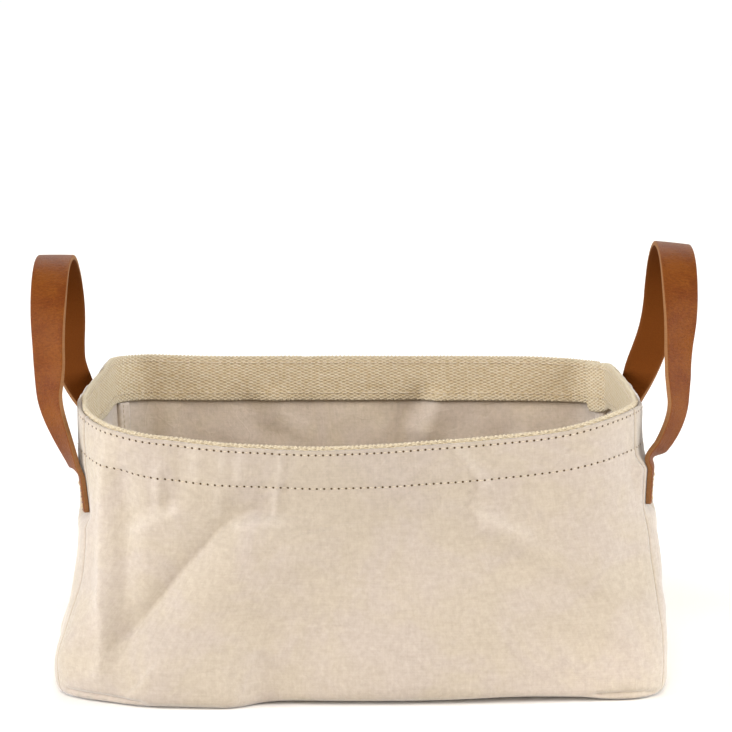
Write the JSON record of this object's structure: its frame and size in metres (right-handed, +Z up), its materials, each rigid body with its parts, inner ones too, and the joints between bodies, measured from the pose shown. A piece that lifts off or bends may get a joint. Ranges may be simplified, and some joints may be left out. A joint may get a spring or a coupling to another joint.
{
  "type": "storage bin",
  "caption": "Soft rectangular fabric storage bin with a rounded foot, a webbing-lined open rim and a leather strap handle at each end.",
  "frame": {"origin": "middle of the flat underside of the bottom, on the surface that the bin stands on", "axes": "+Z up, +X to the right along the long side, +Y from the front wall to the back wall"},
  "size_m": [0.4023, 0.27, 0.2592],
  "materials": {
    "canvas": "washed plain-weave cotton canvas, natural, matt, slightly mottled and creased",
    "webbing": "undyed cotton webbing, coarse plain weave, matt",
    "leather": "tan vegetable-tanned leather, fine grain, low sheen, raw lighter cut edges",
    "thread": "cotton sewing thread, matt"
  },
  "bodies": {
    "bin": {"front_panel": "canvas", "back_panel": "canvas", "left_end_panel": "canvas", "right_end_panel": "canvas", "bottom_panel": "canvas", "bottom_seam_thread": "thread", "front_left_seam_thread": "thread", "front_right_seam_thread": "thread", "back_right_seam_thread": "thread", "back_left_seam_thread": "thread", "rim_top_thread": "thread", "rim_lower_thread": "thread", "rim_top_bobbin_thread": "thread", "rim_lower_bobbin_thread": "thread", "rim_webbing": "webbing", "left_handle_front_end": "leather", "left_handle_back_end": "leather", "right_handle_front_end": "leather", "right_handle_back_end": "leather", "left_handle_front_backing": "leather", "left_handle_back_backing": "leather", "right_handle_front_backing": "leather", "right_handle_back_backing": "leather", "left_handle_front_box_thread": "thread", "left_handle_front_bobbin_thread": "thread", "left_handle_back_box_thread": "thread", "left_handle_back_bobbin_thread": "thread", "right_handle_front_box_thread": "thread", "right_handle_front_bobbin_thread": "thread", "right_handle_back_box_thread": "thread", "right_handle_back_bobbin_thread": "thread"},
    "left_handle": {"left_handle_loop": "leather"},
    "right_handle": {"right_handle_loop": "leather"}
  },
  "joints": [
    {"name": "left_handle_bend", "type": "hinge", "parent": "bin", "child": "left_handle", "pos_m": [-0.17292, -0.0108, 0.1273], "axis": [0, -1, 0], "range_deg": [0, 80], "stiffness_Nm_per_rad": 0.1, "springref_deg": -2.86},
    {"name": "right_handle_bend", "type": "hinge", "parent": "bin", "child": "right_handle", "pos_m": [0.17394, -0.0106, 0.1308], "axis": [0, 1, 0], "range_deg": [0, 80], "stiffness_Nm_per_rad": 0.1, "springref_deg": -2.86}
  ]
}
